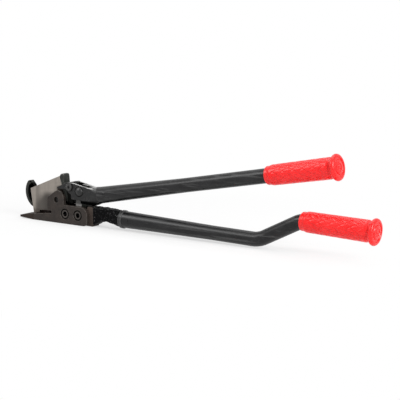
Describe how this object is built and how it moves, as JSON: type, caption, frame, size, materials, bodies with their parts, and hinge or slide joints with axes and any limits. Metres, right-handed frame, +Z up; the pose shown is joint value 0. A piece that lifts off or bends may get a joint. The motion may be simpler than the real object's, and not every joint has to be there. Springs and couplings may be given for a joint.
{
  "type": "long-handled strapping tool",
  "caption": "Hand tool that grips a packing strap between a toothed jaw and a sloping bed, with a fixed lower lever and an upper lever that shuts the jaw through a link.",
  "frame": {"origin": "on the sole, straight below the jaw pivot and midway between the side plates", "axes": "+X from the jaw to the grips, +Z up from the sole, +Y away from the side with the screw heads"},
  "size_m": [0.6722, 0.0415, 0.1543],
  "materials": {
    "dark_steel": "dark oxide",
    "tool_steel": "hardened",
    "black_fastener": "black oxide",
    "pin_steel": "plain",
    "black_casting": "black satin paint over casting",
    "black_tube": "black satin paint",
    "red_grip": "glossy moulded",
    "jaw_forging": "dark forged",
    "ground_steel": "ground",
    "bronze": "plain"
  },
  "bodies": {
    "base": {"foot": "dark_steel", "near_side_plate": "dark_steel", "far_side_plate": "dark_steel", "anvil_bar": "tool_steel", "anvil_screws": "black_fastener", "side_screws": "black_fastener", "side_nuts": "black_fastener", "jaw_pivot_pin": "pin_steel", "link_washers": "pin_steel", "lower_socket": "black_casting", "lower_collar": "black_casting", "lower_tube": "black_tube", "lower_cross_pin": "black_tube", "lower_grip": "red_grip"},
    "jaw": {"jaw_body": "jaw_forging", "jaw_plate": "ground_steel", "jaw_plate_screws": "black_fastener", "gripper_bar": "tool_steel", "gripper_pins": "pin_steel", "jaw_bush": "bronze", "front_guard": "jaw_forging", "guard_screws": "black_fastener"},
    "link": {"link": "ground_steel", "link_bushes": "bronze"},
    "upper_lever": {"fork": "black_casting", "tail_pin": "pin_steel", "link_pin": "black_fastener", "pin_clips": "pin_steel", "upper_tube": "black_tube", "upper_cross_pin": "black_tube", "upper_grip": "red_grip"}
  },
  "joints": [
    {"name": "lever_pivot", "type": "hinge", "parent": "link", "child": "upper_lever", "pos_m": [0.048, 0, 0.0572], "axis": [0, 1, 0], "range_deg": [-15.2, 0]},
    {"name": "link_pivot", "type": "hinge", "parent": "base", "child": "link", "pos_m": [0.047, 0, 0.017], "axis": [0, 1, 0], "range_deg": [0, 5.5]},
    {"name": "jaw_pivot", "type": "hinge", "parent": "base", "child": "jaw", "pos_m": [0, 0, 0.0395], "axis": [0, 1, 0], "range_deg": [0, 7.85]}
  ],
  "couplings": [
    {"joint": "link_pivot", "follows": "lever_pivot", "ratio": -0.36147},
    {"joint": "jaw_pivot", "follows": "lever_pivot", "ratio": -0.51505}
  ]
}
